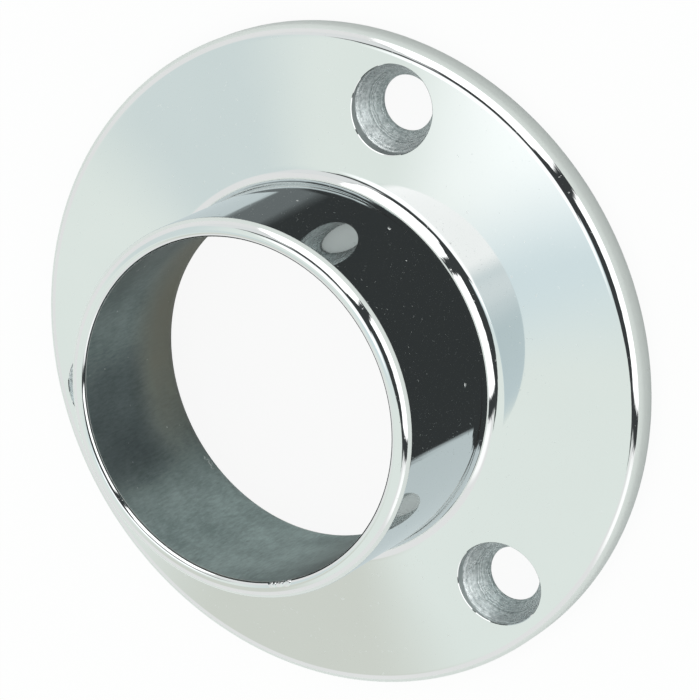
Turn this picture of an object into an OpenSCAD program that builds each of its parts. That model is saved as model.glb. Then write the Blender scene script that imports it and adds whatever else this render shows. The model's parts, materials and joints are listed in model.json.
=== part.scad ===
// Round rod bracket: a flange with a collar that holds the end of a rod.
// The axis of the collar is +Z, and the back of the flange lies in the plane z = 0.
// The flange and the collar are one casting with an even wall. The back is hollow,
// apart from a land round its outside and a boss behind each screw hole.

/* [Rod socket] */
// Diameter of the rod that the collar takes
rod_d = 33.3; // [30:0.1:36]
// Gap between the rod and the bore, on the diameter
rod_gap = 0.3; // [0.1:0.05:0.8]
// Wall of the collar
collar_wall = 1.75; // [1.4:0.05:2.5]
// Height of the collar's rim above the back
height = 21.1; // [16:0.1:40]
// Rounding of the rim's outer edge
rim_round_out = 1.15; // [0.3:0.05:1.2]
// Rounding of the rim's inner edge
rim_round_in = 0.5; // [0.2:0.05:0.8]

/* [Flange] */
// Outer diameter of the flange
flange_d = 66.5; // [64:0.5:90]
// Height of the flange's edge before it is rounded
edge_h = 2.85; // [2.4:0.05:5]
// Rounding of the front edge
edge_round = 1.4; // [0.2:0.05:1.6]
// Slope of the front face, in degrees
face_slope = 7.45; // [4:0.05:12]
// Fillet between the front face and the collar
root_round = 1.75; // [0.5:0.05:2]

/* [Hollow back] */
// Thickness of the flange over the hollow
face_wall = 1.75; // [1.3:0.05:2.1]
// Width of the land round the outside of the back
land_w = 3.3; // [2:0.1:5]
// Rounding between the bore and the hollow
throat_round = 3.5; // [1:0.1:3.5]
// Fillet between the land and the roof of the hollow
hollow_round = 1; // [0.3:0.05:1.2]

/* [Screw holes] */
// Number of screw holes
screw_count = 3; // [3:1:6]
// Distance from the flange's edge to the middle of each screw hole
screw_inset = 6.05; // [5.75:0.05:6.4]
// Direction of the first screw hole, in degrees from +X
screw_start = 90; // [0:5:360]
// Diameter of the screw's shank
shank_d = 4.2; // [3:0.1:4.6]
// Gap round the shank, on the diameter
shank_gap = 1.3; // [0.4:0.1:1.5]
// Diameter of the screw's head
head_d = 8.4; // [7:0.1:8.8]
// Gap round the head, on the diameter
head_gap = 0.2; // [0.1:0.05:0.4]
// Angle between the sides of the countersink, in degrees
sink_angle = 60; // [60:1:90]
// Length of the straight hole behind the countersink
shank_land = 0.35; // [0.2:0.05:0.4]
// Wall of the boss round the screw's head
boss_wall = 1.5; // [1:0.1:1.7]

/* [Hidden] */
$fn = 144;
// How far a cut runs past the face that it opens
cut = 1;
// How far a fillet or a rounding reaches past its sharp corner
lap = 0.1;
// How far the circle of a fillet or a rounding runs over its sides, so that it meets them
seat = 0.0001;
// Flat that is always left between the two roundings of the rim
rim_flat = 0.1;

bore_r = (rod_d + rod_gap) / 2;
collar_r = bore_r + collar_wall;
flange_r = flange_d / 2;
hollow_r = flange_r - land_w;
screw_circle_r = flange_r - screw_inset;
rim_out = min(rim_round_out, collar_wall - rim_round_in - rim_flat);
hole_r = (shank_d + shank_gap) / 2;
sink_r = (head_d + head_gap) / 2;
sink_floor = shank_land + (sink_r - hole_r) / tan(sink_angle / 2);
boss_r = sink_r + boss_wall;

// Height of the front face at radius r
function face_z(r) = edge_h + (flange_r - r) * tan(face_slope);

// Height of the hollow's roof at radius r, one wall below the front face
function roof_z(r) = face_z(r) - face_wall / cos(face_slope);

// A step of length d in direction a
function step(d, a) = d * [cos(a), sin(a)];

// What lies between the sharp corner p, with sides in directions a and b, and the
// circle of radius r that touches both sides. It is added in an inside corner and
// cut from an outside one.
module corner(p, a, b, r) {
    half = (b - a) / 2;
    reach = r / tan(half);
    centre = p + step(r / sin(half), a + half);
    difference() {
        polygon([p - step(lap, a + half), p + step(reach, a), centre, p + step(reach, b)]);
        translate(centre) circle(r + seat);
    }
}

// Half section of the flange and the collar as if they were solid
module outside_section() {
    difference() {
        union() {
            polygon([
                [0, 0],
                [flange_r, 0],
                [flange_r, edge_h],
                [collar_r, face_z(collar_r)],
                [collar_r, height],
                [0, height]
            ]);
            corner([collar_r, face_z(collar_r)], -face_slope, 90, root_round);
        }
        corner([flange_r, edge_h], 180 - face_slope, 270, edge_round);
        corner([collar_r, height], 180, 270, rim_out);
    }
}

// Half section of the bore, with the rounded rim and the rounded throat behind it
module bore_section() {
    translate([0, -cut]) square([bore_r, height + 2 * cut]);
    corner([bore_r, height], -90, 0, rim_round_in);
    corner([bore_r, roof_z(bore_r)], -face_slope, 90, throat_round);
}

// Half section of the hollow in the back, which runs into the bore
module hollow_section() {
    difference() {
        polygon([
            [bore_r - lap, -cut],
            [hollow_r, -cut],
            [hollow_r, roof_z(hollow_r)],
            [bore_r - lap, roof_z(bore_r - lap)]
        ]);
        corner([hollow_r, roof_z(hollow_r)], 180 - face_slope, 270, hollow_round);
    }
}

// Half section of a screw hole: straight hole, countersink, and a recess that takes
// the head below the sloping face
module screw_section() {
    top = face_z(collar_r) + cut;
    polygon([
        [0, -cut],
        [hole_r, -cut],
        [hole_r, shank_land],
        [sink_r, sink_floor],
        [sink_r, top],
        [0, top]
    ]);
}

// Puts a copy of what follows at each screw
module at_screws() {
    for (i = [0 : screw_count - 1])
        rotate(screw_start + i * 360 / screw_count) translate([screw_circle_r, 0]) children();
}

// The whole bracket, one casting
module flange() {
    color("gainsboro")
    difference() {
        rotate_extrude() outside_section();
        rotate_extrude() bore_section();
        difference() {
            rotate_extrude() hollow_section();
            at_screws() translate([0, 0, -2 * cut]) cylinder(r = boss_r, h = height);
        }
        at_screws() rotate_extrude() screw_section();
    }
}

flange();
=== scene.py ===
import json
import math

import bpy
import numpy as np
from mathutils import Matrix, Vector


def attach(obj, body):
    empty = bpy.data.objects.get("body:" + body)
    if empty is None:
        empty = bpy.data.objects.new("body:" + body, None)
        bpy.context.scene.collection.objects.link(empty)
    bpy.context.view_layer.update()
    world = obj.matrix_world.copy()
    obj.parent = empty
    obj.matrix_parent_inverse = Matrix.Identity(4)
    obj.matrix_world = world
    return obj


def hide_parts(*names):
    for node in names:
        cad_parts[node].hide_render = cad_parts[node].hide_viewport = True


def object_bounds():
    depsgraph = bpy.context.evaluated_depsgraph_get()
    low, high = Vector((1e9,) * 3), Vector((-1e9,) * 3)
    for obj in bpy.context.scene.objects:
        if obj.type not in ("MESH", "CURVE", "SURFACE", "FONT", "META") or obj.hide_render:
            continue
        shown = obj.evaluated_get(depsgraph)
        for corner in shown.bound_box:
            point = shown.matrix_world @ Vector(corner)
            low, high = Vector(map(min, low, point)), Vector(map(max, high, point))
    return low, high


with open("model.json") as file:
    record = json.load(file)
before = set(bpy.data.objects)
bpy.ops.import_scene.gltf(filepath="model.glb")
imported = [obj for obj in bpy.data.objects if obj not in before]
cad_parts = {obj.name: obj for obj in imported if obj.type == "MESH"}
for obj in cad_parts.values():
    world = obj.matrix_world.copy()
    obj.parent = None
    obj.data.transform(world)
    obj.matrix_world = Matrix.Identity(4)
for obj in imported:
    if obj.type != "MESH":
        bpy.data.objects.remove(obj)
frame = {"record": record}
cad_low, cad_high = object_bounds()
mounts = {m["name"]: m for m in frame["record"]["mounts"]}
MM = 0.001

# Sizes that the frame gives, in metres
FLANGE_R = (cad_high.x - cad_low.x) / 2
HEIGHT = cad_high.z
BORE_R = mounts["rod_socket"]["dims"]["r_mm"] * MM
SCREW_R = mounts["screws"]["dims"]["hole_r_mm"] * MM
SCREW_CIRCLE_R = mounts["screws"]["dims"]["pcd_mm"] * MM / 2

# Sizes that the frame doesn't give
SCREW_ANGLES = [math.radians(a) for a in (90, 210, 330)]
COLLAR_WALL = 1.75 * MM
COLLAR_R = BORE_R + COLLAR_WALL
EDGE_H = 2.85 * MM
EDGE_ROUND = 1.4 * MM
SLOPE = math.radians(7.45)
ROOT_ROUND = 1.75 * MM
RIM_ROUND_OUT = 1.15 * MM
RIM_ROUND_IN = 0.5 * MM
FACE_WALL = 1.75 * MM
LAND_W = 3.3 * MM
THROAT_ROUND = 3.5 * MM
HOLLOW_ROUND = 1.0 * MM
HEAD_R = 4.3 * MM
SINK_HALF = math.radians(30)
SHANK_LAND = 0.35 * MM
BOSS_R = 5.8 * MM
MOUTH_BREAK = 0.1 * MM
HOLLOW_R = FLANGE_R - LAND_W

# How far a boss reaches into the wall over it, and how far the cuts run past what they open
BOSS_LAP = 0.1 * MM
SCREW_PAST = 1 * MM
MOUTH_PAST = 0.4 * MM

# Steps round the axis of the flange and of a screw hole
TURN_STEPS = 480
SCREW_STEPS = 144

# Finishes, in the order of the piece's material slots
POLISHED, BORE, MACHINED, CAST = range(4)

# How far a face's corners may lie from the true surface that it belongs to, and the least cosine
# between its own normal and the true ones
ON_SURFACE = 0.01 * MM
ALONG_SURFACE = 0.9

# Camera, fitted to the photograph
CAM_TILT = math.radians(33.97)
CAM_AZIMUTH = math.radians(47.13)
CAM_ROLL = math.radians(27.35)
CAM_DISTANCE = 394.9 * MM
CAM_RIGHT = 0.475 * MM
CAM_UP = 0.399 * MM
CAM_LENS = 207.07
CAM_SENSOR = 36
CAM_NEAR = 10 * MM
TOWARD_CAMERA = (math.cos(CAM_AZIMUTH), math.sin(CAM_AZIMUTH), 0)
ACROSS_CAMERA = (-math.sin(CAM_AZIMUTH), math.cos(CAM_AZIMUTH), 0)


# Half sections

def face_z(r):
    """Height of the front face."""
    return EDGE_H + (FLANGE_R - r) * math.tan(SLOPE)


def roof_z(r):
    """Height of the roof of the hollow back."""
    return face_z(r) - FACE_WALL / math.cos(SLOPE)


class Line:
    """A straight stretch of a half section. The solid lies on its left."""

    def __init__(self, p, q, finish):
        self.p = np.array(p, float)
        self.q = np.array(q, float)
        self.finish = finish

    def points(self):
        return [self.p, self.q]

    def distance(self, rz):
        d = self.q - self.p
        length = np.linalg.norm(d)
        d = d / length
        along = (rz - self.p) @ d
        off = (rz - self.p) @ np.array([d[1], -d[0]])
        past = np.maximum(0, np.maximum(-along, along - length))
        return np.abs(off) + past

    def normal(self, rz):
        d = self.q - self.p
        d = d / np.linalg.norm(d)
        return np.tile([d[1], -d[0]], (len(rz), 1))


class Arc:
    """A round stretch of a half section, from angle a to angle b. It bulges if b is more than a."""

    def __init__(self, centre, radius, a, b, steps, finish):
        self.centre = np.array(centre, float)
        self.radius = radius
        self.a = a
        self.b = b
        self.steps = steps
        self.finish = finish

    def points(self):
        turns = np.radians(np.linspace(self.a, self.b, self.steps + 1))
        return [self.centre + self.radius * np.array([math.cos(t), math.sin(t)]) for t in turns]

    def distance(self, rz):
        """Distance from the arc. A point over a degree past its ends counts as far away."""
        d = rz - self.centre
        off = np.abs(np.hypot(d[:, 0], d[:, 1]) - self.radius)
        low, high = sorted((self.a, self.b))
        turn = (np.degrees(np.arctan2(d[:, 1], d[:, 0])) - low + 1) % 360
        return off + np.where(turn <= high - low + 2, 0, 1)

    def normal(self, rz):
        d = rz - self.centre
        d = d / np.hypot(d[:, 0], d[:, 1])[:, None]
        return d if self.b > self.a else -d


def body_section():
    """The whole half section of the flange and the collar, anticlockwise."""
    lean = 90 - math.degrees(SLOPE)
    edge = (FLANGE_R - EDGE_ROUND, face_z(FLANGE_R - EDGE_ROUND) - EDGE_ROUND / math.cos(SLOPE))
    root = (COLLAR_R + ROOT_ROUND, face_z(COLLAR_R + ROOT_ROUND) + ROOT_ROUND / math.cos(SLOPE))
    rim_out = (COLLAR_R - RIM_ROUND_OUT, HEIGHT - RIM_ROUND_OUT)
    rim_in = (BORE_R + RIM_ROUND_IN, HEIGHT - RIM_ROUND_IN)
    throat_r = BORE_R + THROAT_ROUND
    throat = (throat_r, roof_z(throat_r) + THROAT_ROUND / math.cos(SLOPE))
    inner_r = HOLLOW_R - HOLLOW_ROUND
    inner = (inner_r, roof_z(inner_r) - HOLLOW_ROUND / math.cos(SLOPE))
    edge_arc = Arc(edge, EDGE_ROUND, 0, lean, 20, POLISHED)
    root_arc = Arc(root, ROOT_ROUND, 180 + lean, 180, 16, POLISHED)
    rim_out_arc = Arc(rim_out, RIM_ROUND_OUT, 0, 90, 16, POLISHED)
    rim_in_arc = Arc(rim_in, RIM_ROUND_IN, 90, 180, 10, POLISHED)
    throat_arc = Arc(throat, THROAT_ROUND, 180, 180 + lean, 20, BORE)
    inner_arc = Arc(inner, HOLLOW_ROUND, lean, 0, 6, CAST)
    arcs = [edge_arc, root_arc, rim_out_arc, rim_in_arc, throat_arc, inner_arc]
    between = [POLISHED, POLISHED, POLISHED, BORE, CAST]
    section = [Line((FLANGE_R, 0), edge_arc.points()[0], POLISHED)]
    for arc, after, finish in zip(arcs, arcs[1:], between):
        section += [arc, Line(arc.points()[-1], after.points()[0], finish)]
    section += [inner_arc, Line(inner_arc.points()[-1], (HOLLOW_R, 0), CAST)]
    section += [Line((HOLLOW_R, 0), (FLANGE_R, 0), CAST)]
    return section


def boss_section():
    """Half section of a boss, whose top ends inside the wall over the hollow."""
    top = roof_z(SCREW_CIRCLE_R - BOSS_R) + BOSS_LAP
    return [Line((0, 0), (BOSS_R, 0), CAST),
            Line((BOSS_R, 0), (BOSS_R, top), CAST),
            Line((BOSS_R, top), (0, top), CAST)]


def inside_section():
    """Half section of a cylinder that ends halfway across the land, and keeps the bosses inside it."""
    edge = FLANGE_R - LAND_W / 2
    return [Line((0, -HEIGHT), (edge, -HEIGHT), CAST),
            Line((edge, -HEIGHT), (edge, HEIGHT), CAST),
            Line((edge, HEIGHT), (0, HEIGHT), CAST)]


def screw_section():
    """Half section of what a screw hole takes away."""
    floor = SHANK_LAND + (HEAD_R - SCREW_R) / math.tan(SINK_HALF)
    low, high = -SCREW_PAST, face_z(COLLAR_R) + SCREW_PAST
    return [Line((0, low), (SCREW_R, low), MACHINED),
            Line((SCREW_R, low), (SCREW_R, SHANK_LAND), MACHINED),
            Line((SCREW_R, SHANK_LAND), (HEAD_R, floor), MACHINED),
            Line((HEAD_R, floor), (HEAD_R, high), CAST),
            Line((HEAD_R, high), (0, high), POLISHED)]


def mouth_section():
    """Half section of the cone that breaks the sharp edge of a head recess."""
    low, high = -MOUTH_PAST, MOUTH_PAST
    edge = HEAD_R + MOUTH_BREAK
    return [Line((0, low), (edge + low, low), POLISHED),
            Line((edge + low, low), (edge + high, high), POLISHED),
            Line((edge + high, high), (0, high), POLISHED)]


# The casting

def turn(name, section, steps, place):
    """A closed mesh made by turning a half section round its axis."""
    points, finishes = [section[0].points()[0]], []
    for part in section:
        for p in part.points()[1:]:
            points.append(p)
            finishes.append(part.finish)
    if np.allclose(points[0], points[-1]):
        points.pop()
    rings, verts, faces, slots = [], [], [], []
    for r, z in points:
        if r < 1e-9:
            rings.append([len(verts)] * steps)
            verts.append((0, 0, z))
            continue
        rings.append(list(range(len(verts), len(verts) + steps)))
        for k in range(steps):
            t = 2 * math.pi * k / steps
            verts.append((r * math.cos(t), r * math.sin(t), z))
    for i, finish in enumerate(finishes):
        low, high = rings[i], rings[(i + 1) % len(rings)]
        for k in range(steps):
            m = (k + 1) % steps
            faces.append(list(dict.fromkeys([low[k], low[m], high[m], high[k]])))
            slots.append(finish)
    mesh = bpy.data.meshes.new(name)
    mesh.from_pydata([place @ Vector(v) for v in verts], [], faces)
    mesh.polygons.foreach_set("material_index", slots)
    mesh.update()
    piece = bpy.data.objects.new(name, mesh)
    bpy.context.scene.collection.objects.link(piece)
    return piece


def combine(piece, other, operation):
    """Joins, cuts or crosses two closed meshes, and deletes the second."""
    step = piece.modifiers.new(operation.lower(), "BOOLEAN")
    step.operation = operation
    step.object = other
    step.solver = "MANIFOLD"
    depsgraph = bpy.context.evaluated_depsgraph_get()
    made = bpy.data.meshes.new_from_object(piece.evaluated_get(depsgraph))
    piece.modifiers.clear()
    old, piece.data = piece.data, made
    bpy.data.meshes.remove(old)
    bpy.data.objects.remove(other)


def read(items, name, kind, width=1):
    """One value of each item of a mesh, as an array."""
    values = np.zeros(len(items) * width, kind)
    items.foreach_get(name, values)
    return values.reshape(-1, width) if width > 1 else values


def dress(piece, sections):
    """Gives each face the normals and the finish of the true surface that it lies on."""
    mesh = piece.data
    points = read(mesh.vertices, "co", float, 3)[read(mesh.loops, "vertex_index", int)]
    starts = read(mesh.polygons, "loop_start", int)
    totals = read(mesh.polygons, "loop_total", int)
    loop_face = np.repeat(np.arange(len(totals)), totals)
    flat = read(mesh.polygons, "normal", float, 3)[loop_face]
    best = np.full(len(totals), np.inf)
    finish = np.full(len(totals), POLISHED)
    normals = flat.copy()
    for place, sign, section in sections:
        axes = np.array(place.to_3x3())
        local = (points - np.array(place.translation)) @ axes
        r = np.hypot(local[:, 0], local[:, 1])
        rz = np.stack([r, local[:, 2]], 1)
        out = local[:, :2] / np.maximum(r, 1e-12)[:, None]
        for part in section:
            away = np.maximum.reduceat(part.distance(rz), starts)
            n2 = sign * part.normal(rz)
            n3 = np.concatenate([out * n2[:, :1], n2[:, 1:]], 1) @ axes.T
            agree = np.minimum.reduceat((n3 * flat).sum(1), starts)
            score = np.where((away < ON_SURFACE) & (agree > ALONG_SURFACE), 1 - agree, np.inf)
            better = score < best
            best = np.where(better, score, best)
            finish = np.where(better, part.finish, finish)
            normals = np.where(better[loop_face][:, None], n3, normals)
    mesh.materials.clear()
    for make in (polished_chrome, bore_chrome, machined_zinc, cast_chrome):
        mesh.materials.append(make())
    mesh.polygons.foreach_set("material_index", finish)
    mesh.polygons.foreach_set("use_smooth", [True] * len(totals))
    mesh.normals_split_custom_set(normals.tolist())
    mesh.update()


def screw_place(angle):
    return Matrix.Rotation(angle, 4, "Z") @ Matrix.Translation((SCREW_CIRCLE_R, 0, 0))


def mouth_place(angle):
    """Where the axis of a screw hole meets the front face, leaning with the face."""
    lift = Matrix.Translation((SCREW_CIRCLE_R, 0, face_z(SCREW_CIRCLE_R)))
    return Matrix.Rotation(angle, 4, "Z") @ lift @ Matrix.Rotation(SLOPE, 4, "Y")


def make_flange():
    """The whole bracket, one casting."""
    upright = Matrix.Identity(4)
    piece = turn("flange_casting", body_section(), TURN_STEPS, upright)
    sections = [(upright, 1, body_section())]
    for angle in SCREW_ANGLES:
        place = screw_place(angle)
        boss = turn("boss", boss_section(), SCREW_STEPS, place)
        combine(boss, turn("inside", inside_section(), TURN_STEPS, upright), "INTERSECT")
        combine(piece, boss, "UNION")
        sections.append((place, 1, boss_section()))
    for angle in SCREW_ANGLES:
        place, mouth = screw_place(angle), mouth_place(angle)
        combine(piece, turn("screw_cut", screw_section(), SCREW_STEPS, place), "DIFFERENCE")
        combine(piece, turn("mouth_cut", mouth_section(), SCREW_STEPS, mouth), "DIFFERENCE")
        sections.append((place, -1, screw_section()))
        sections.append((mouth, -1, mouth_section()))
    dress(piece, sections)
    return piece


# Node graphs

class Graph:
    """Adds linked nodes to one node tree."""

    def __init__(self, owner):
        owner.use_nodes = True
        self.tree = owner.node_tree
        self.tree.nodes.clear()

    def feed(self, socket, value):
        if isinstance(value, bpy.types.NodeSocket):
            self.tree.links.new(value, socket)
        else:
            socket.default_value = value

    def add(self, kind, inputs=None, **settings):
        node = self.tree.nodes.new("ShaderNode" + kind)
        for key, value in settings.items():
            setattr(node, key, value)
        for key, value in (inputs or {}).items():
            self.feed(node.inputs[key], value)
        return node

    def math(self, operation, a, b=0.0, clamp=False):
        return self.add("Math", {0: a, 1: b}, operation=operation, use_clamp=clamp).outputs[0]

    def plus(self, a, b, clamp=False):
        return self.math("ADD", a, b, clamp)

    def minus(self, a, b, clamp=False):
        return self.math("SUBTRACT", a, b, clamp)

    def times(self, a, b, clamp=False):
        return self.math("MULTIPLY", a, b, clamp)

    def dot(self, a, b):
        return self.add("VectorMath", {0: a, 1: b}, operation="DOT_PRODUCT").outputs["Value"]

    def distance(self, a, b):
        return self.add("VectorMath", {0: a, 1: b}, operation="DISTANCE").outputs["Value"]

    def ease(self, value, low, high):
        """Rises smoothly from 0 at low to 1 at high. High may be less than low."""
        inputs = {0: value, 1: low, 2: high}
        return self.add("MapRange", inputs, interpolation_type="SMOOTHSTEP").outputs[0]

    def scale(self, value, low, high):
        """Takes a value from 0 to 1 to the range from low to high."""
        return self.add("MapRange", {0: value, 3: low, 4: high}).outputs[0]

    def mix(self, factor, a, b, blend="MIX"):
        inputs = {0: factor, 6: a, 7: b}
        return self.add("Mix", inputs, data_type="RGBA", blend_type=blend).outputs[2]

    def noise(self, where, scale, detail=2.0, roughness=0.5):
        inputs = {"Vector": where, "Scale": scale, "Detail": detail, "Roughness": roughness}
        return self.add("TexNoise", inputs).outputs[0]

    def ramp(self, value, stops):
        node = self.add("ValToRGB", {0: value})
        ends = node.color_ramp.elements
        while len(ends) < len(stops):
            ends.new(0.5)
        for end, (place, colour) in zip(ends, stops):
            end.position = place
            end.color = (*colour, 1)
        return node.outputs[0]

    def bump(self, height, strength, distance, over=None):
        inputs = {"Height": height, "Strength": strength, "Distance": distance}
        if over is not None:
            inputs["Normal"] = over
        return self.add("Bump", inputs).outputs[0]


def grey(level, tint=0.0):
    """A grey that is a little blue where tint is more than 0."""
    return (level * (1 - tint), level, level * (1 + 0.3 * tint), 1)


def metal(name, metallic=1.0):
    """A new material with its graph, the inputs of its shader and the place on the object."""
    material = bpy.data.materials.new(name)
    g = Graph(material)
    shader = g.add("BsdfPrincipled", {"Metallic": metallic})
    g.add("OutputMaterial", {"Surface": shader.outputs[0]})
    place = g.add("TexCoord").outputs["Object"]
    return material, g, shader.inputs, place


# Small marks on the plating: middle and radius, in millimetres
SPECKS = [
    ((4.9, 17.9, 8.0), 0.24), ((17.1, 7.1, 9.4), 0.22), ((-3.4, 18.2, 11.6), 0.14),
    ((10.9, 15.4, 5.3), 0.14), ((8.4, 16.6, 10.1), 0.12),
]
BURR = [((8.2, -14.7, 20.9), 0.55), ((8.9, -14.3, 20.8), 0.6), ((9.6, -13.9, 20.9), 0.55)]
NICKS = [((-8.8, -14.4, 5.6), 0.5), ((-8.3, -14.6, 5.8), 0.45), ((-9.2, -14.1, 5.8), 0.45)]


def marked(g, place, marks):
    """1 inside the marks and 0 outside them."""
    share = 0.0
    for middle, radius in marks:
        away = g.distance(place, tuple(c * MM for c in middle))
        share = g.math("MAXIMUM", g.ease(away, radius * MM, 0.5 * radius * MM), share)
    return share


def polished_chrome():
    """Mirror plating with slow waves, faint haze and specks, and a burr on the rim."""
    material, g, inputs, place = metal("polished_chrome")
    cloud = g.noise(place, scale=90, detail=3)
    g.feed(inputs["Base Color"], g.mix(cloud, (0.74, 0.76, 0.755, 1), (0.78, 0.795, 0.79, 1)))
    haze = g.scale(g.noise(place, scale=420, detail=4, roughness=0.6), 0.015, 0.05)
    dust = g.ease(g.noise(place, scale=2600), 0.675, 0.74)
    rough = g.plus(haze, g.times(dust, 0.25))
    g.feed(inputs["Roughness"], g.plus(rough, g.times(marked(g, place, SPECKS), 0.55)))
    waves = g.bump(g.noise(place, scale=110, detail=1, roughness=0.4), 0.25, 0.03 * MM)
    torn = g.times(g.noise(place, scale=2200, roughness=0.6), marked(g, place, BURR + SPECKS))
    g.feed(inputs["Normal"], g.bump(torn, 1.0, 0.25 * MM, over=waves))
    return material


# Tone of the thin plating in the bore, and its two paler stretches of painted light: direction in
# degrees, the share of the radius where they begin, and how much paler they are. Direction 0 is towards
# the camera.
THIN = 0.42
PAINTED_LIGHT_STRETCHES = [(138, 0.79, 0.18), (226, 0.7, 0.5)]
# Directions of the brown stain in the bore and of the painted reflection of a dark thing beside it
STAIN_AT = 132
PAINTED_REFLECTION_AT = 164
STAIN = (0.34, 0.32, 0.26, 1)
PAINTED_DARK_REFLECTION = (0.06, 0.07, 0.085, 1)
NICKED = (0.8, 0.83, 0.83, 1)


def bore_side(g, place, direction, low, high):
    """Rises from 0 to 1 towards one side of the bore, between two shares of its radius."""
    angle = CAM_AZIMUTH + math.radians(direction)
    side = g.dot(place, (math.cos(angle), math.sin(angle), 0))
    return g.ease(side, low * BORE_R, high * BORE_R)


def bore_chrome():
    """Thin satin plating with painted light in two paler stretches round the bore, a stain, a painted
    reflection of a dark thing, spots and nicks.
    """
    material, g, inputs, place = metal("bore_chrome")
    stretched = g.add("Mapping", {"Vector": place, "Scale": (1, 1, 0.25)}).outputs[0]
    cloud = g.noise(place, scale=160, detail=4, roughness=0.6)
    grain = g.noise(stretched, scale=3600, detail=3, roughness=0.7)
    tone = g.plus(g.times(cloud, 0.55), g.times(grain, 0.45))
    colour = g.ramp(tone, [(0.36, (0.43, 0.5, 0.505)), (0.64, (0.82, 0.91, 0.91))])
    z = g.add("SeparateXYZ", {0: place}).outputs["Z"]
    # Painted light: two paler stretches on the sides of the bore, over the thin plating's darker tone
    level = THIN
    for direction, start, more in PAINTED_LIGHT_STRETCHES:
        level = g.plus(g.times(bore_side(g, place, direction, start, 1.0), more), level)
    thin_and_painted_light = g.mix(level, (0, 0, 0, 1), (0.94, 1, 1, 1))
    colour = g.mix(1.0, colour, thin_and_painted_light, blend="MULTIPLY")
    stained = g.times(bore_side(g, place, STAIN_AT, 0.5, 1.0), g.ease(z, 14 * MM, 8 * MM))
    stained = g.times(stained, g.scale(cloud, 0.4, 1.2), clamp=True)
    colour = g.mix(stained, colour, STAIN)
    # Painted reflection: a dark patch high in the bore that stands in for a dark thing which it mirrors
    dark = g.times(bore_side(g, place, PAINTED_REFLECTION_AT, 0.88, 0.985), g.ease(z, 9 * MM, 13 * MM))
    colour = g.mix(g.times(dark, 0.5), colour, PAINTED_DARK_REFLECTION)
    spots = g.ease(g.noise(place, scale=1500), 0.73, 0.8)
    nicks = g.ease(g.noise(place, scale=2600, roughness=0.6), 0.52, 0.6)
    spots = g.math("MAXIMUM", spots, g.times(nicks, marked(g, place, NICKS)))
    g.feed(inputs["Base Color"], g.mix(spots, colour, NICKED))
    g.feed(inputs["Roughness"], g.scale(grain, 0.28, 0.46))
    g.feed(inputs["Normal"], g.bump(grain, 0.35, 0.02 * MM))
    return material


def hole_distance(g, place):
    """Distance from the axis of the nearest screw hole."""
    nearest = 1.0
    flat = g.add("VectorMath", {0: place, 1: (1, 1, 0)}, operation="MULTIPLY").outputs[0]
    for angle in SCREW_ANGLES:
        middle = (SCREW_CIRCLE_R * math.cos(angle), SCREW_CIRCLE_R * math.sin(angle), 0)
        nearest = g.math("MINIMUM", g.distance(flat, middle), nearest)
    return nearest


# Painted light: tone that a countersink gains for each metre outward, so that it is painted darker
# towards the hole and paler outward
PAINTED_LIGHT_OUTWARD = 35.0


def machined_zinc():
    """Bare metal with the tool's lines, which run round the hole and waver a little, and painted light
    that makes it paler outward.
    """
    material, g, inputs, place = metal("machined_zinc", 0.75)
    away = hole_distance(g, place)
    drift = g.noise(place, scale=900)
    ridge = g.plus(g.math("DIVIDE", away, MM), g.times(drift, 0.3))
    lines = g.add("CombineXYZ", {0: ridge}).outputs[0]
    rings = g.noise(lines, scale=8, detail=4, roughness=0.8)
    blot = g.noise(place, scale=3000, detail=3, roughness=0.7)
    tone = g.plus(g.times(rings, 0.65), g.times(blot, 0.35))
    # Painted light: the countersink is painted paler outward and darker towards the hole
    outward = g.minus(away, (SCREW_R + HEAD_R) / 2)
    tone = g.plus(tone, g.times(outward, PAINTED_LIGHT_OUTWARD))
    g.feed(inputs["Base Color"], g.ramp(tone, [(0.42, (0.4, 0.45, 0.45)), (0.58, (0.95, 1.0, 1.0))]))
    g.feed(inputs["Roughness"], g.scale(drift, 0.2, 0.36))
    g.feed(inputs["Normal"], g.bump(tone, 0.9, 0.08 * MM))
    return material


def cast_chrome():
    """Plated casting that was never polished: the hollow back and the head recesses."""
    material, g, inputs, place = metal("cast_chrome")
    cloud = g.noise(place, scale=120, detail=4, roughness=0.6)
    grain = g.noise(place, scale=1800, detail=3, roughness=0.6)
    g.feed(inputs["Base Color"], g.ramp(cloud, [(0.3, (0.54, 0.57, 0.57)), (0.7, (0.7, 0.73, 0.73))]))
    g.feed(inputs["Roughness"], g.scale(cloud, 0.26, 0.4))
    g.feed(inputs["Normal"], g.bump(grain, 0.25, 0.04 * MM))
    return material


# Camera and floor

def make_camera():
    """The camera of the photograph."""
    tilt = (Matrix.Rotation(CAM_AZIMUTH, 4, "Z") @ Matrix.Rotation(CAM_TILT, 4, "Y")).to_3x3()
    near, side, out = (tilt @ Vector(axis) for axis in ((1, 0, 0), (0, 1, 0), (0, 0, 1)))
    right = math.cos(CAM_ROLL) * near - math.sin(CAM_ROLL) * side
    up = math.sin(CAM_ROLL) * near + math.cos(CAM_ROLL) * side
    data = bpy.data.cameras.new("camera")
    data.lens = CAM_LENS
    data.sensor_width = CAM_SENSOR
    data.clip_start = CAM_NEAR
    camera = bpy.data.objects.new("camera", data)
    pose = Matrix((right, up, out)).transposed().to_4x4()
    pose.translation = out * CAM_DISTANCE + right * CAM_RIGHT + up * CAM_UP
    camera.matrix_world = pose
    bpy.context.scene.collection.objects.link(camera)
    bpy.context.scene.camera = camera


# Ray depths past which the chrome has mirrored a ray twice before it meets the floor or the studio
FLOOR_TWICE = 1.5
STUDIO_TWICE = 2.5
# How much of the floor's white is its own glow, as the camera and as the chrome see it
FLOOR_SEEN = 0.92
FLOOR_MIRRORED = 0.03
# The floor's paper: in the open and in the bracket's shade under the screw holes
PAPER_OPEN = (0.88, 0.93, 0.895, 1)
PAPER_SHADED = (0.66, 0.71, 0.7, 1)
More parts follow.
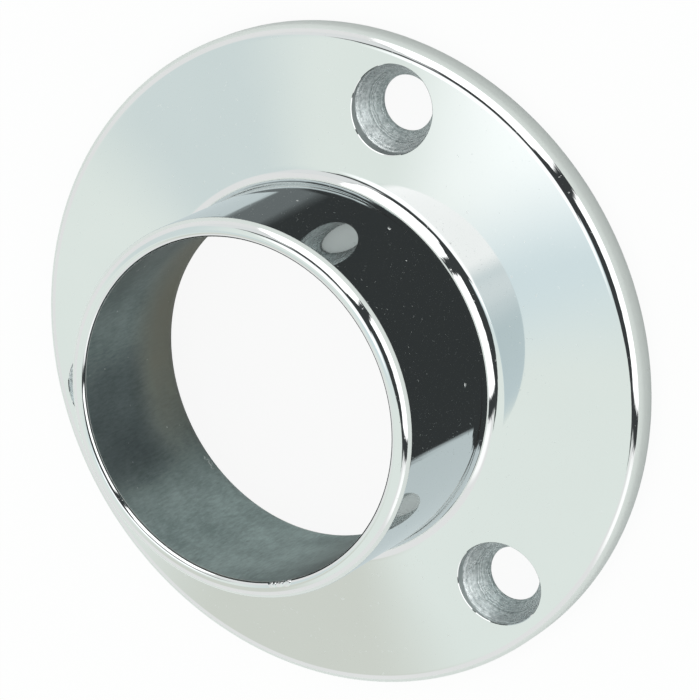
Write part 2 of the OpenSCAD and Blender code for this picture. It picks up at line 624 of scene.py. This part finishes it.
# Distances from the axis between which the shade comes and between which it goes
SHADE_COMES = (20 * MM, 23 * MM)
SHADE_GOES = (31 * MM, 34 * MM)
# Painted reflections, the paper's colours where the chrome mirrors it twice: away from the camera, and
# near black towards it
PAINTED_TWICE_BEHIND = (0.7, 0.74, 0.73, 1)
PAINTED_TWICE_AHEAD = (0.04, 0.04, 0.04, 1)
AHEAD = 30 * MM
FLOOR_SIZE = 4


def floor_paper(g, ray):
    """Colour of the floor's paper, which has a shade, and painted reflection tones where it is mirrored
    twice.
    """
    place = g.add("TexCoord").outputs["Object"]
    away = g.distance(place, (0, 0, 0))
    shade = g.times(g.ease(away, *SHADE_COMES), g.ease(away, SHADE_GOES[1], SHADE_GOES[0]))
    once = g.mix(shade, PAPER_OPEN, PAPER_SHADED)
    ahead = g.ease(g.dot(place, TOWARD_CAMERA), 0.0, AHEAD)
    # Painted reflection: where the chrome mirrors the floor twice, the paper is painted grey, and near
    # black towards the camera
    twice = g.mix(ahead, PAINTED_TWICE_BEHIND, PAINTED_TWICE_AHEAD)
    again = g.math("GREATER_THAN", ray["Ray Depth"], FLOOR_TWICE)
    return g.mix(again, once, twice)


def make_floor():
    """A floor that glows white for the camera. What the chrome sees is nearly all paper."""
    bpy.ops.mesh.primitive_plane_add(size=FLOOR_SIZE, location=(0, 0, 0))
    floor = bpy.context.object
    floor.name = "floor"
    material = bpy.data.materials.new("floor_white")
    g = Graph(material)
    ray = g.add("LightPath").outputs
    seen = g.times(g.plus(ray["Is Camera Ray"], ray["Is Transmission Ray"]), FLOOR_SEEN)
    once = g.math("LESS_THAN", ray["Ray Depth"], FLOOR_TWICE)
    mirrored = g.times(g.times(ray["Is Glossy Ray"], once), FLOOR_MIRRORED)
    share = g.plus(seen, mirrored, clamp=True)
    paper = g.add("BsdfDiffuse", {"Color": floor_paper(g, ray)}).outputs[0]
    glow = g.add("Emission", {"Color": (1, 1, 1, 1), "Strength": 1.0}).outputs[0]
    both = g.add("MixShader", {0: share, 1: paper, 2: glow}).outputs[0]
    g.add("OutputMaterial", {"Surface": both})
    floor.data.materials.append(material)


# Studio, which only the chrome sees. The light on everything else is plain white.
# Directions are in degrees: azimuth 0 is towards the photograph's camera, and tilt is from the vertical.

# The tent's colour, and three soft shades on it: colour, limits, softness. Their angles run round the
# direction that the front face mirrors.
TENT = (0.92, 0.99, 0.95, 1)
SHADES = [
    ((0.77, 0.8, 0.74, 1), (-165, -110), 13),
    ((0.8, 0.92, 0.95, 1), (-16, 12), 12),
    ((0.77, 0.86, 0.86, 1), (72, 119), 13),
]
# Round bright panel: colour, azimuth, tilt, radius, softness
PANEL = (grey(1.4, 0.02), 95, 12, 17, 3)
# Patches: colour, azimuths, tilts, softness of both, and what takes the near edge further down
BLACK = grey(0.055, 0.1)
WHITE = grey(1.65)
LOW = [
    (grey(0.95), None, (55, 100), (2, 4)),
    (grey(1.3), (-88, -62), (66, 96), (6, 6)),
]
# Two windows in a dark frame, with a grey card on the right
WINDOWS = [
    (BLACK, (-74, 12), (14, 51.5), (2, 2.5), [(-46, -1.4)]),
    (BLACK, (8, 104), (6.5, 60), (2, 3), [(12, 0.28)]),
    (grey(0.92, 0.02), (76, 114), (20, 62), (6, 2.5), [(27, 0.28)]),
    (BLACK, (-60, -50), (50, 100), (1.5, 1.5)),
    (WHITE, (-50, 9), (49, 96), (1.5, 1)),
    (BLACK, (9, 19), (50, 96), (1.2, 1)),
    (WHITE, (19, 77), (32, 96), (1.5, 1), [(36, -1.0), (36, 0.28)]),
]
# Scale of the noise that lets the windows' outlines waver, and how far in degrees
WAVER = (14, 5)
# What the chrome mirrors twice: the collar's dark side, and what the face shows of the collar
TWICE = [
    (grey(0.84, 0.1), None, (40, 100), (2, 4)),
    (grey(0.22, 0.1), (50, 119), (36, 76), (2.5, 6)),
    (BLACK, (-74, 60), (30, 100), (1.5, 2)),
    (BLACK, (30, 94), (30, 76), (6, 6)),
    (grey(0.84, 0.14), (-125, 5), (4, 26), (20, 3)),
    (grey(1.1, 0.06), (-24, 5), (4, 26), (24, 3)),
    (grey(1.35), (12, 130), (4, 30), (12, 3)),
]


class Sky:
    """Paints the studio round the object by direction."""

    def __init__(self, g):
        self.g = g
        self.way = g.add("TexCoord").outputs["Generated"]
        self.x = g.dot(self.way, TOWARD_CAMERA)
        self.y = g.dot(self.way, ACROSS_CAMERA)
        self.z = g.dot(self.way, (0, 0, 1))
        self.azimuth = g.math("DEGREES", g.math("ARCTAN2", self.y, self.x))
        self.tilt = g.math("DEGREES", g.math("ARCCOSINE", self.z))
        self.colour = self.tent()

    def tent(self):
        """Pale all round, apart from its shades."""
        g = self.g
        toward = g.plus(g.times(self.x, math.cos(CAM_TILT)), g.times(self.z, math.sin(CAM_TILT)))
        turn = g.math("DEGREES", g.math("ARCTAN2", self.y, toward))
        colour = TENT
        for shade, limits, soft in SHADES:
            colour = g.mix(self.band(turn, limits, soft), colour, shade)
        return colour

    def waver(self, scale, degrees):
        """Lets the outlines of what is painted from here on waver."""
        wide = self.g.noise(self.way, scale, 3.0, 0.6)
        high = self.g.noise(self.way, scale, 2.5, 0.6)
        self.azimuth = self.g.plus(self.azimuth, self.g.scale(wide, -degrees, degrees))
        self.tilt = self.g.plus(self.tilt, self.g.scale(high, -degrees, degrees))

    def past(self, start, slope):
        """How far the azimuth lies past start, times slope."""
        way = self.g.minus(self.azimuth, start)
        return self.g.math("MAXIMUM", self.g.times(way, slope), 0.0)

    def band(self, value, limits, soft):
        """1 between two limits and 0 outside them."""
        inside = self.g.ease(value, limits[0] - soft, limits[0] + soft)
        past = self.g.ease(value, limits[1] - soft, limits[1] + soft)
        return self.g.minus(inside, past, clamp=True)

    def paint(self, colour, azimuths, tilts, soft, lower=()):
        """Paints one patch. Each start and slope in lower takes its near edge further down."""
        g = self.g
        edge = self.tilt
        for start, slope in lower:
            edge = g.minus(edge, self.past(start, slope))
        near = g.ease(edge, tilts[0] - soft[1], tilts[0] + soft[1])
        far = g.ease(self.tilt, tilts[1] - soft[1], tilts[1] + soft[1])
        share = g.minus(near, far, clamp=True)
        if azimuths:
            share = g.times(self.band(self.azimuth, azimuths, soft[0]), share)
        self.colour = g.mix(share, self.colour, colour)

    def paint_round(self, colour, azimuth, tilt, radius, soft):
        """Paints one round patch."""
        a, t = math.radians(azimuth), math.radians(tilt)
        middle = (math.sin(t) * math.cos(a), math.sin(t) * math.sin(a), math.cos(t))
        way = self.g.add("CombineXYZ", {0: self.x, 1: self.y, 2: self.z}).outputs[0]
        low, high = (math.cos(math.radians(r)) for r in (radius + soft, radius - soft))
        self.colour = self.g.mix(self.g.ease(self.g.dot(way, middle), low, high), self.colour, colour)


def studio_once(g):
    """What the chrome mirrors directly."""
    sky = Sky(g)
    for patch in LOW:
        sky.paint(*patch)
    sky.paint_round(*PANEL)
    sky.waver(*WAVER)
    for patch in WINDOWS:
        sky.paint(*patch)
    return sky.colour


def studio_twice(g):
    """What the chrome mirrors by way of another chrome surface. Its outlines waver as well."""
    sky = Sky(g)
    sky.waver(*WAVER)
    for patch in TWICE:
        sky.paint(*patch)
    return sky.colour


def make_studio():
    """The world: plain white light, and the painted studio for the rays that the chrome mirrors."""
    world = bpy.data.worlds.new("studio")
    bpy.context.scene.world = world
    g = Graph(world)
    ray = g.add("LightPath").outputs
    again = g.math("GREATER_THAN", ray["Ray Depth"], STUDIO_TWICE)
    colour = g.mix(again, studio_once(g), studio_twice(g))
    mirrored = g.add("Background", {"Color": colour, "Strength": 1.0}).outputs[0]
    plain = g.add("Background", {"Color": (1, 1, 1, 1), "Strength": 1.0}).outputs[0]
    both = g.add("MixShader", {0: ray["Is Glossy Ray"], 1: plain, 2: mirrored}).outputs[0]
    g.add("OutputWorld", {"Surface": both})


flange = make_flange()
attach(flange, "root")
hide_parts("flange")
make_camera()
make_floor()
make_studio()
bpy.context.scene.view_settings.view_transform = "Standard"
